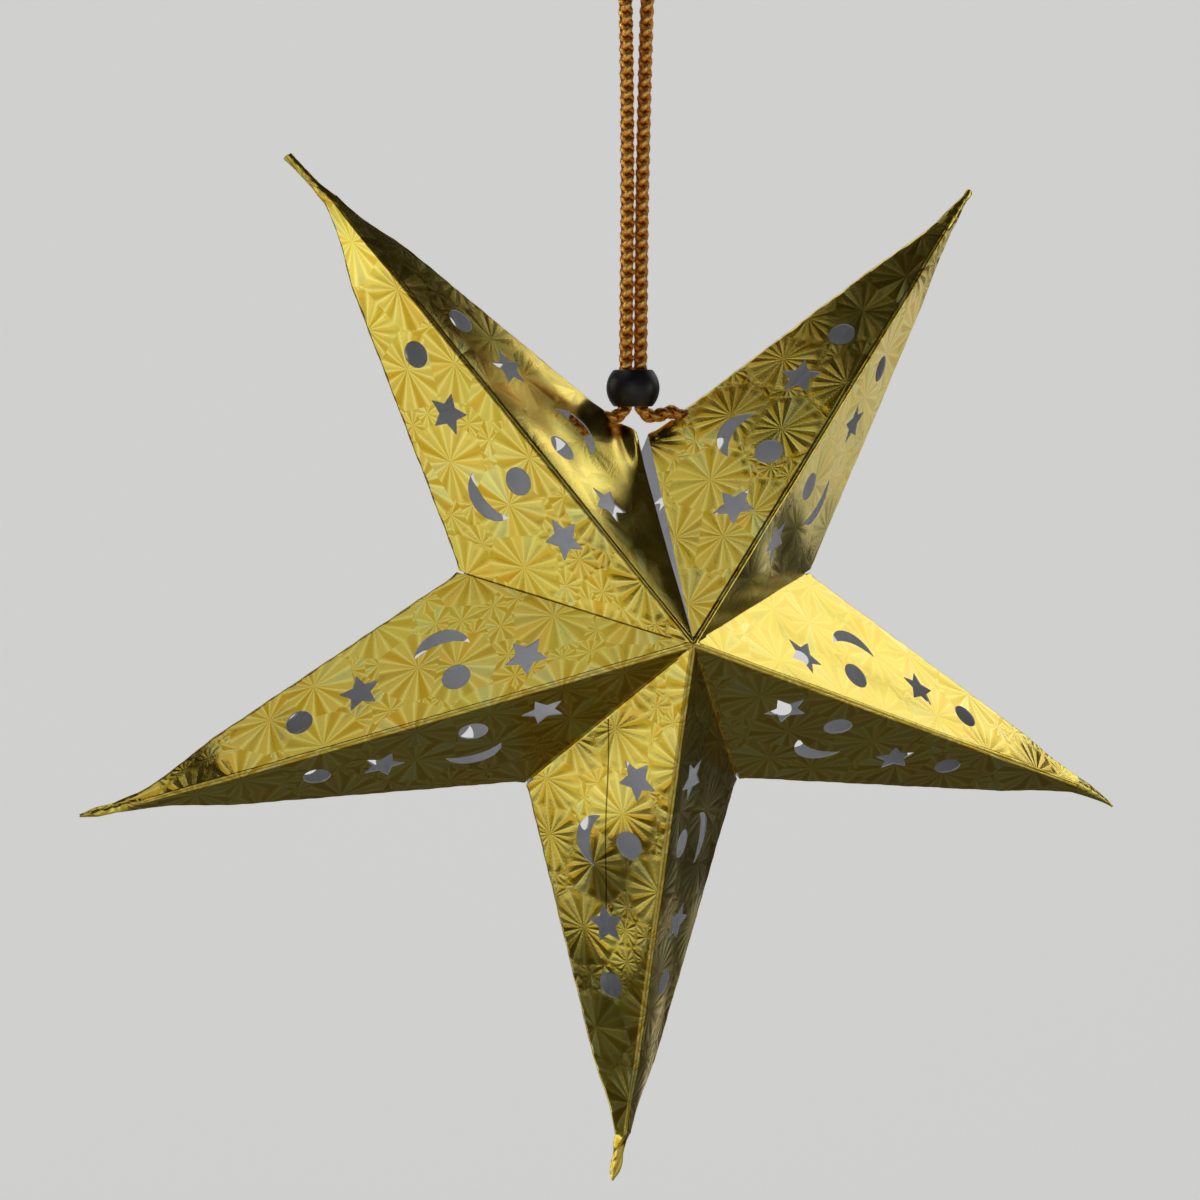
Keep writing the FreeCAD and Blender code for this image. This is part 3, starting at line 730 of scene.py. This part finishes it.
def turned(points, angle):
    """Points turned anticlockwise about the star's front-back axis, seen from the front."""
    x, y, z = np.moveaxis(np.asarray(points, dtype=float), -1, 0)
    c, s = math.cos(angle), math.sin(angle)
    return np.stack([x * c - z * s, y, x * s + z * c], axis=-1)


def fold_reach(drop):
    """How far past the corner a face runs before it folds, to lie a drop under the next arm's face."""
    out = turned(Face(-1, -1).out, 2 * HALF_SECTOR)
    return drop / abs(FRONT.corner_away @ out)


TAB_DROP = CARD + GLUE_GAP
FOLD_REACH = fold_reach(TAB_DROP)

# How a face is divided: steps along its creases and rows beside them, the spacings of its corner
# edge and its grid, and the gaps kept between.
RIDGE_STEPS = 120
RIM_STEPS = 84
RIDGE_ROWS = [0.22, 0.45, 0.7, 0.95, 1.1, 1.25, 1.45, 1.9]
RIM_ROWS = [0.25, 0.5, 0.7, 0.82, 0.98, 1.3, 1.8]
EDGE_SPACING = 1.2
PITCH = 1.35
ROW_GAP = 0.16
PITCH_GAP = 0.5
BESIDE_ROWS = 0.6


def face_outline(edge, step):
    """A face's outline, and the folds within it. It runs down the crease, across the tail's root,
    back along the rim and down the corner's edge: a tab, trimmed back by a step, or free."""
    ridge = even((0.0, 0.0), ROOT_RIDGE, RIDGE_STEPS)
    root = even(ROOT_RIDGE, ROOT_RIM, ROOT_STEPS)
    rim = even(ROOT_RIM, CORNER_FLAT, RIM_STEPS)
    start, stop = TAB_START, CORNER_LENGTH - TAB_STOP
    folds = []
    if edge == "tab":
        corner = [CORNER_FLAT, in_corner(stop, 0), in_corner(stop, -FOLD_REACH),
                  in_corner(stop - TAB_SLANT, -TAB_WIDTH), in_corner(start + TAB_SLANT, -TAB_WIDTH),
                  in_corner(start, -FOLD_REACH), in_corner(start, 0), np.zeros(2)]
        folds.append(divided([in_corner(start, -FOLD_REACH), in_corner(stop, -FOLD_REACH)], EDGE_SPACING))
    elif edge == "step":
        trimmed = CORNER_FLAT + RIM_WAY * step / (RIM_WAY @ CORNER_IN)
        rim = np.concatenate([rim[(rim - trimmed) @ RIM_WAY > 0.3], [trimmed]])
        corner = [trimmed, in_corner(start, step), in_corner(start, 0), np.zeros(2)]
    else:
        corner = [CORNER_FLAT, np.zeros(2)]
    return np.concatenate([ridge[:-1], root[:-1], rim[:-1], divided(corner, EDGE_SPACING)[:-1]]), folds


def loose_points(outline, fixed):
    """The points within a face: rows beside its creases and an even triangular grid for the rest,
    where no fixed point is near."""
    rows = [even((0.0, 0.0), ROOT_RIDGE, RIDGE_STEPS) + (0.0, row) for row in RIDGE_ROWS]
    rows += [even(ROOT_RIM, CORNER_FLAT, RIM_STEPS) + RIM_IN * row for row in RIM_ROWS]
    x, y = np.meshgrid(np.arange(0.0, 146.0, PITCH), np.arange(-8.0, 46.0, PITCH * math.sqrt(3) / 2))
    x = x + PITCH / 2 * (np.arange(len(y)) % 2)[:, None]
    grid = np.stack([x.ravel(), y.ravel()], axis=1)
    by_ridge = (grid @ CORNER_WAY > 0) & (grid[:, 1] > 0) & (grid[:, 1] < RIDGE_ROWS[-1] + BESIDE_ROWS)
    grid = grid[~by_ridge & (rim_inward(grid) > RIM_ROWS[-1] + BESIDE_ROWS)]
    loose = np.concatenate(rows + [grid])
    gap = np.sqrt(((loose[:, None] - fixed[None]) ** 2).sum(axis=2)).min(axis=1)
    least = np.concatenate([np.full(sum(map(len, rows)), ROW_GAP), np.full(len(grid), PITCH_GAP)])
    return loose[inside(loose, outline) & (gap > least)]


def chained(loops, lines):
    """The edges round closed loops and along open lines, their points numbered in order."""
    edges, count = [], 0
    for places in loops + lines:
        index = np.arange(len(places)) + count
        edges += np.stack([index, np.roll(index, -1)], axis=1).tolist()
        if count >= sum(map(len, loops)):
            edges.pop()
        count += len(places)
    return edges


def flat_pattern(edge, step, notch):
    """A face's flat points and triangles: the constrained Delaunay ones between its outline and
    the punched shapes, all facing the same way."""
    outline, folds = face_outline(edge, step)
    holes = PUNCHES + notch
    loops = [outline] + holes
    fixed = np.concatenate(loops + folds)
    points = np.concatenate([fixed, loose_points(outline, fixed)])
    result = delaunay_2d_cdt([Vector(p) for p in points.tolist()], chained(loops, folds), [], 0, 1e-5)
    flat = np.array([tuple(p) for p in result[0]])
    triangles = np.array(result[2])
    middle = flat[triangles].mean(axis=1)
    keep = inside(middle, outline)
    for hole in holes:
        keep &= ~inside(middle, hole)
    triangles = triangles[keep]
    a, b, c = flat[triangles].transpose(1, 0, 2)
    reverse = (b - a)[:, 0] * (c - a)[:, 1] - (b - a)[:, 1] * (c - a)[:, 0] < 0
    triangles[reverse] = triangles[reverse][:, ::-1]
    used, index = np.unique(triangles, return_inverse=True)
    return flat[used], index.reshape(-1, 3)


def soft_step(value, low, high):
    """0 below a range, 1 above it and a smooth rise between."""
    share = np.clip((value - low) / (high - low), 0.0, 1.0)
    return share * share * (3 - 2 * share)


def pressed(depth, press):
    """A fold's depth once its edge is pressed flat, rounded where the flat begins."""
    return press + PRESS_ROUNDING * np.logaddexp(0.0, (depth - press) / PRESS_ROUNDING)


def wavy(flat, waves, curl):
    """How far a face's points stand off its plane: long low waves that die out towards the folds
    that hold it, and round a free edge's rim corner a rippled curl that falls off as a bell."""
    u, v = flat.T
    rim_depth = rim_inward(flat)
    corner_depth = flat @ CORNER_IN
    hold = np.tanh(np.maximum(v, 0) / 7) * np.tanh(np.maximum(rim_depth, 0) / 7)
    hold = hold * (1.0 if curl else np.tanh(np.maximum(corner_depth, 0) / 6))
    lift = np.zeros(len(flat))
    for long, way, phase, height in waves:
        lift += height * np.sin(2 * np.pi * (u * math.cos(way) + v * math.sin(way)) / long + phase)
    lift *= hold
    if curl:
        height, reach, ripple = curl
        near = np.exp(-((flat - CORNER_FLAT) ** 2).sum(axis=1) / (2 * reach ** 2))
        lift += height * near * (0.6 + 0.4 * np.sin(corner_depth * ripple))
    return lift


def tucked(flat, face):
    """A face's points carried on under the next arm's face, as its tab is."""
    beyond = Face(face.front, -1)
    step = 2 * HALF_SECTOR
    across, out = turned(beyond.corner_away, step), turned(beyond.out, step)
    base = -FOLD_REACH * (face.corner_away @ across)
    return (face.point + (flat @ CORNER_WAY)[:, None] * face.corner_along
            + (base - flat @ CORNER_IN - FOLD_REACH)[:, None] * across - TAB_DROP * out)


def folded(flat, face, waves, curl, pinch):
    """Carries a face's flat points into the folded arm.

    A point goes along and across the face's plane, and off it by its waves. Near a crease, its
    depth below it is pressed to a flat, with a fine dent down its middle, and near a rim its
    distance in likewise. Past the corner it turns under the next arm's face. Towards the tail the
    whole arm is pinched narrower.
    """
    u, v = flat.T
    lift = wavy(flat, waves, curl)
    place = face.point + u[:, None] * face.along + v[:, None] * face.away + lift[:, None] * face.out
    fall = np.maximum(v, 0) * -face.away[1] * face.front
    dent = DENT_DEPTH * np.exp(-(fall / DENT_WIDTH) ** 2)
    place[:, 1] -= face.front * (pressed(fall, RIDGE_PRESS) - fall + dent)
    inward = face.along * RIM_IN[0] + face.away * RIM_IN[1]
    slip = np.maximum(rim_inward(flat), 0) * -(inward @ face.rim_out)
    fade = soft_step((flat - CORNER_FLAT) @ RIM_WAY, 0.0, 3.0)
    bumpy = 1 + 0.25 * np.sin(u * 0.83 + waves[0][2]) * np.sin(u * 0.37 + waves[1][2])
    place -= ((pressed(slip, RIM_PRESS * bumpy) - slip) * fade)[:, None] * face.rim_out
    past = flat @ CORNER_IN < -FOLD_REACH
    if past.any():
        place[past] = tucked(flat, face)[past]
    place[:, 1:] *= 1 - pinch * soft_step(place[:, :1], PINCH_START, TAIL_ROOT)
    return place


def arm_turn(place):
    """Radians anticlockwise from +X to an arm, with the star's own tilt."""
    return math.pi / 2 - SEAM - (2 * place + 1) * HALF_SECTOR - math.radians(HANG_TILT)


def cord_gap(place, side):
    """Where the cord passes an arm's rim, as an outline on its flat face.

    A tube a little wider than the cord, along its way at the rim, is cut by the face's plane: an
    ellipse as wide as the tube, and longer by how far it leans off the plane.
    """
    line = turned(cord_line + (0.0, 0.0, DROP), -arm_turn(place))
    face = Face(-1, side)
    off = (line - face.corner) @ face.rim_out
    near = np.linalg.norm(line - face.corner, axis=1) < 20.0
    step = np.flatnonzero((off[:-1] * off[1:] <= 0) & near[:-1])[0]
    share = off[step] / (off[step] - off[step + 1])
    middle = line[step] + share * (line[step + 1] - line[step]) - face.point
    way = unit(line[step + 1] - line[step])
    lean = abs(way @ face.out)
    length_way = unit(way - (way @ face.out) * face.out)
    width_way = np.cross(face.out, length_way)
    radius = CORD_WIDTH / 2 + CORD_HOLE_CLEARANCE
    turn = circle(36)
    ring = (middle + radius / lean * np.cos(turn)[:, None] * length_way
            + radius * np.sin(turn)[:, None] * width_way)
    return np.stack([ring @ face.along, ring @ face.away], axis=1)


def tail(stations, waves, pinch):
    """The pinched end of an arm: its root's outline, narrowed, flattened, shifted and twisted
    smoothly through the stations, and closed at its end.

    A station gives the run from the root, the shift aside and behind, half the width, half the
    thickness and the twist. Returns points, faces, the fan that closes the end, the rings' runs,
    and each ring point's share of the way from crease to rim, front and side.
    """
    ring, around = [], []
    shares = np.linspace(0.0, 1.0, ROOT_STEPS + 1)
    for front, side, forward in ((-1, 1, True), (1, 1, False), (1, -1, True), (-1, -1, False)):
        line = even(ROOT_RIDGE, ROOT_RIM, ROOT_STEPS)
        places = folded(line, Face(front, side), waves[(front, side)], None, pinch)
        order = slice(None, -1) if forward else slice(None, 0, -1)
        ring.append(places[order])
        around.append(np.column_stack([shares[order], np.full(ROOT_STEPS, front), np.full(ROOT_STEPS, side)]))
    ring = np.concatenate(ring)
    columns = len(ring)
    _, thickness, breadth = np.abs(ring).max(axis=0)
    stops = np.array([(0.0, 0.0, 0.0, breadth, thickness, 0.0)] + list(stations))
    past = np.linspace(0.0, stops[-1, 0], 30)
    smooth = [np.interp(past, stops[:, 0], stops[:, column]) for column in range(1, 6)]
    kernel = np.array([0.25, 0.5, 0.25])
    for _ in range(2):
        smooth = [np.concatenate([s[:1], np.convolve(s, kernel, "valid"), s[-1:]]) for s in smooth]
    aside, behind, half_width, half_thick, twist = (s[:, None] for s in smooth)
    c, s = np.cos(np.radians(twist)), np.sin(np.radians(twist))
    y = ring[:, 1] / thickness * half_thick
    z = ring[:, 2] / breadth * half_width
    crumple = 0.16 * soft_step(past[:, None], 0.5, 4.0)
    ripple = np.sin(past[:, None] * 2.1 + np.arange(columns) * 1.7 + waves[(-1, 1)][0][2])
    y = y + crumple * ripple * np.sign(ring[:, 1]) * 0.5
    rings = np.stack([ring[:, 0] + past[:, None], y * c - z * s + behind, y * s + z * c + aside], axis=-1)
    points = np.concatenate([rings.reshape(-1, 3), rings[-1].mean(axis=0, keepdims=True) + (0.25, 0, 0)])
    last = (len(past) - 1) * columns + np.arange(columns)
    cap = np.stack([last, np.roll(last, -1), np.full(columns, len(points) - 1)], axis=1)
    faces = grid_faces(len(past), columns)
    a, b, c = points[faces[len(faces) // 2, :3]]
    if np.cross(b - a, c - a) @ ((a + c) / 2 - rings[len(past) // 2].mean(axis=0)) < 0:
        faces, cap = faces[:, ::-1], cap[:, ::-1]
    return points, faces, cap, past, np.concatenate(around)


# Each arm's place, clockwise from the top right; its corner edges, anticlockwise first; how far one
# is trimmed; how much the arm is pinched; a free edge's curl, by height, reach and ripple; how worn
# a front face is, by side; and its tail's stations.
UV_STEP = np.array([37.0, 21.0])
ARMS = {
    "upper_right": {
        "place": 0, "edges": ("free", "step"), "step": 1.2, "pinch": 0.15, "curl": (0.7, 5.0, 0.6),
        "worn": {-1: 0.55}, "stations": [
            (4.2, 0.1, 0, 2.1, 1.9, 0), (8.6, 0.3, 0, 1.15, 1.05, 0), (10.6, 0.2, 0, 0.9, 0.8, 0),
            (12.2, 0.3, 0, 1.1, 0.85, 0), (12.9, 0.4, 0, 0.8, 0.6, 0)]},
    "right": {
        "place": 1, "edges": ("tab", "step"), "step": 0.7, "pinch": 0.2, "worn": {1: 0.7}, "stations": [
            (4.0, -0.3, 0, 1.9, 1.7, 0), (8.5, -1.0, 0, 1.1, 1.0, 0), (11.5, -1.6, 0, 0.6, 0.6, 0),
            (13.4, -2.2, 0, 0.35, 0.35, 0)]},
    "bottom": {
        "place": 2, "edges": ("tab", "step"), "step": 0.8, "pinch": 0.3, "worn": {}, "stations": [
            (2.2, -0.8, 0, 1.9, 1.4, 0), (5.0, -1.2, -0.4, 1.35, 0.8, 25), (8.3, -1.6, -0.2, 1.75, 0.6, 35),
            (10.8, -2.1, 0, 1.3, 0.5, 25), (12.6, -2.5, 0, 0.35, 0.35, 10)]},
    "left": {
        "place": 3, "edges": ("tab", "step"), "step": 0.6, "pinch": 0.3, "worn": {}, "stations": [
            (2.5, -0.2, 0, 1.9, 1.5, 10), (6.5, -0.5, 0, 1.4, 0.8, 35), (11.0, -1.0, 0, 1.3, 0.7, 20),
            (15.2, -1.5, 0, 0.4, 0.4, 0)]},
    "upper_left": {
        "place": 4, "edges": ("tab", "free"), "step": 0.0, "pinch": 0.4, "curl": (1.6, 6.5, 0.75),
        "worn": {-1: 0.85}, "stations": [
            (2.0, 0.5, 0, 1.6, 1.3, 0), (5.0, 1.0, 0, 1.15, 0.7, 0), (11.5, 1.9, 0, 1.1, 0.65, 0),
            (15.0, 2.5, 0, 1.25, 0.7, 0)]},
}
BACK_CURL = (0.3, 6.0, 0.9)


def unfolded(flat, front, side):
    """Where a face's points lie on the whole flat sheet: the clockwise faces beyond the front
    crease, the back faces beyond the rims."""
    if front > 0:
        flat = flat - 2 * rim_inward(flat)[:, None] * RIM_IN
    return flat * (1, side)


def face_part(arm, front, side, edge, pattern, waves):
    """One folded face: its points, triangles and what its foil is worked out from."""
    flat, triangles = pattern
    face = Face(front, side)
    curl = None
    if edge == "free":
        curl = arm["curl"] if front < 0 else BACK_CURL
    wear = arm["worn"].get(side, 0.0) if front < 0 else 0.0
    return {"points": folded(flat, face, waves, curl, arm["pinch"]),
            "faces": [triangles[:, ::-1] if face.flip else triangles],
            "layout": unfolded(flat, front, side),
            "from_ridge": np.maximum(flat[:, 1], 0),
            "from_rim": np.maximum(rim_inward(flat), 0),
            "worn": wear * (1 - soft_step(flat[:, 0], 75.0, 130.0))}


def tail_part(arm, waves):
    """The pinched tail likewise; its foil runs on from its root's."""
    points, quads, cap, past, around = tail(arm["stations"], waves, arm["pinch"])
    share, front, side = np.vstack([np.tile(around, (len(past), 1)), (0.0, -1.0, 1.0)]).T
    run = np.concatenate([np.repeat(past, len(around)), past[-1:]])
    strip = ROOT_RIDGE + share[:, None] * (ROOT_RIM - ROOT_RIDGE) + run[:, None] * (1, 0)
    strip = np.where(front[:, None] > 0, strip + (0, 12.0), strip)
    return {"points": points, "faces": [quads, cap],
            "layout": strip * np.stack([np.ones_like(side), side], axis=1),
            "from_ridge": share * 3.0 + 0.3,
            "from_rim": (1 - share) * 3.0 + 0.3,
            "worn": np.zeros(len(points))}


def make_card(sheet):
    """Joins a sheet's points that meet, and gives it the card's thickness inward, with its second
    material within and at its edges, and sharp folds."""
    shell = bmesh.new()
    shell.from_mesh(sheet.data)
    bmesh.ops.remove_doubles(shell, verts=shell.verts, dist=0.02 * MM)
    bmesh.ops.dissolve_degenerate(shell, edges=shell.edges, dist=0.01 * MM)
    shell.to_mesh(sheet.data)
    shell.free()
    wall = sheet.modifiers.new("wall", "SOLIDIFY")
    wall.thickness = CARD * MM
    wall.offset = -1.0
    wall.use_even_offset = False
    wall.material_offset = 1
    wall.material_offset_rim = 1
    shaped = sheet.evaluated_get(bpy.context.evaluated_depsgraph_get())
    sheet.data = bpy.data.meshes.new_from_object(shaped)
    sheet.modifiers.clear()
    sheet.data.set_sharp_from_angle(angle=math.radians(38))


def add_sheet(name, arm, draw, materials):
    """One arm's sheet: four folded faces and the pinched tail. Each face has four long low waves,
    by length, way, phase and height."""
    waves = {(front, side): [(draw.uniform(20, 55), draw.uniform(0, np.pi), draw.uniform(0, 6.28),
                              draw.uniform(0.08, 0.2)) for _ in range(4)]
             for front in (-1, 1) for side in (-1, 1)}
    corners = list(zip((1, -1), arm["edges"]))
    patterns = {}
    for side, edge in corners:
        notch = [cord_gap(arm["place"], side)] if edge == "free" else []
        patterns[side] = flat_pattern(edge, arm["step"], notch)
    parts = [face_part(arm, front, side, edge, patterns[side], waves[(front, side)])
             for front in (-1, 1) for side, edge in corners]
    parts.append(tail_part(arm, waves))

    def together(key):
        return np.concatenate([part[key] for part in parts])

    faces, start = [], 0
    for part in parts:
        for some in part["faces"]:
            faces += (some + start).tolist()
        start += len(part["points"])
    place = turned(together("points"), arm_turn(arm["place"])) - (0, 0, DROP)
    sheet = add_piece(name, place, faces, materials, closed=False)
    mesh = sheet.data
    loops = np.empty(len(mesh.loops), dtype=int)
    mesh.loops.foreach_get("vertex_index", loops)
    on_film = (together("layout") + UV_STEP * arm["place"])[loops] * UV_SCALE
    mesh.uv_layers.new(name="flat").data.foreach_set("uv", on_film.ravel())
    for label in ("from_ridge", "from_rim", "worn"):
        mesh.attributes.new(label, "FLOAT", "POINT").data.foreach_set("value", together(label))
    make_card(sheet)
    return sheet


gold_foil = foil("gold_foil")
spliced_foil = foil("gold_foil_spliced", splice=True)
card = white_card()
draw = np.random.default_rng(5)
for arm_name, arm in ARMS.items():
    face_foil = spliced_foil if arm_name == "bottom" else gold_foil
    sheet = add_sheet(f"folded_sheet_{arm_name}", arm, draw, [face_foil, card])
    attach(sheet, "root")
    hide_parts(f"arm_sheet_{arm_name}")


# ---- stage and light

# Lengths from here on are metres.
FLOOR_HEIGHT = -1.5
BEND = 0.8  # radius of the floor's turn up into the backdrop
BACK = 2.2  # how far behind the star it begins
WALL_TOP = 2.6
FAR = 40.0  # how far it reaches to the front and sides

STAR = (0.0, 0.0, -DROP * MM)

# Each lamp's place, its size across and high, and its power in watts.
SOFTBOXES = {
    "left": ((-0.62, -0.04, -0.36), (0.5, 0.4), 0.45),
    "upper_left": ((-0.36, -0.03, 0.42), (0.35, 0.35), 0.22),
    "right": ((0.62, 0.27, 0.16), (0.36, 0.34), 0.5),
    "low_right": ((0.56, 0.33, -0.26), (0.26, 0.16), 0.075),
    "front": ((-0.35, -1.1, -0.1), (0.7, 0.7), 0.8),
    "back_left": ((-0.80, 0.42, -0.03), (0.25, 0.45), 1.1),
    "front_right": ((0.70, -0.26, -0.15), (0.35, 0.35), 0.45),
    "back_high": ((-0.06, 0.36, 0.46), (0.35, 0.35), 0.45),
    "back_low": ((-0.45, 0.30, -0.72), (0.3, 0.3), 0.3),
}


def sweep():
    """A floor that bends up into a backdrop: straight, a quarter circle, straight, carried sideways."""
    turn = np.linspace(-np.pi / 2, 0.0, 24)
    y = np.concatenate([[-FAR, -1.0], BACK + BEND * np.cos(turn), [BACK + BEND]])
    z = np.concatenate([[FLOOR_HEIGHT] * 2, FLOOR_HEIGHT + BEND + BEND * np.sin(turn), [WALL_TOP]])
    x = np.linspace(-FAR, FAR, 81)
    places = np.stack(np.broadcast_arrays(x[:, None], y[None], z[None]), axis=-1)
    rows, columns = places.shape[:2]
    row, column = np.meshgrid(np.arange(rows - 1), np.arange(columns - 1), indexing="ij")
    here = (row * columns + column).ravel()
    faces = np.stack([here, here + columns, here + columns + 1, here + 1], axis=1)
    return places.reshape(-1, 3) / MM, faces.tolist()


def add_lamp(name, kind, place, power, **settings):
    """A lamp that faces the star, out of the camera's sight."""
    data = bpy.data.lights.new(name, kind)
    data.energy = power
    for key, setting in settings.items():
        setattr(data, key, setting)
    lamp = bpy.data.objects.new(name, data)
    bpy.context.scene.collection.objects.link(lamp)
    lamp.location = place
    lamp.rotation_euler = (Vector(STAR) - Vector(place)).to_track_quat("-Z", "Y").to_euler()
    lamp.visible_camera = False


floor = add_piece("studio_floor", *sweep(), [studio_paper()], closed=False)
for lamp_name, (lamp_place, (across, high), watts) in SOFTBOXES.items():
    add_lamp(f"{lamp_name}_softbox", "AREA", lamp_place, watts, shape="RECTANGLE", size=across, size_y=high)
add_lamp("inner_lamp", "POINT", STAR, 0.008, shadow_soft_size=0.012)


def studio_air():
    """The room around: a pale band along the horizon, dim above and below."""
    mix = Mix("studio", "Background", "worlds")
    way = mix.node("TexCoord").outputs["Generated"]
    slant = mix.math("ABSOLUTE", mix.node("SeparateXYZ", [way]).outputs["Z"])
    return mix.finish(Strength=mix.ramp(slant, 0.05, 0.4, 0.22, 0.025), Color=colour(0.95, 0.97, 1.0))


bpy.context.scene.world = studio_air()
bpy.context.scene.view_settings.view_transform = "Standard"
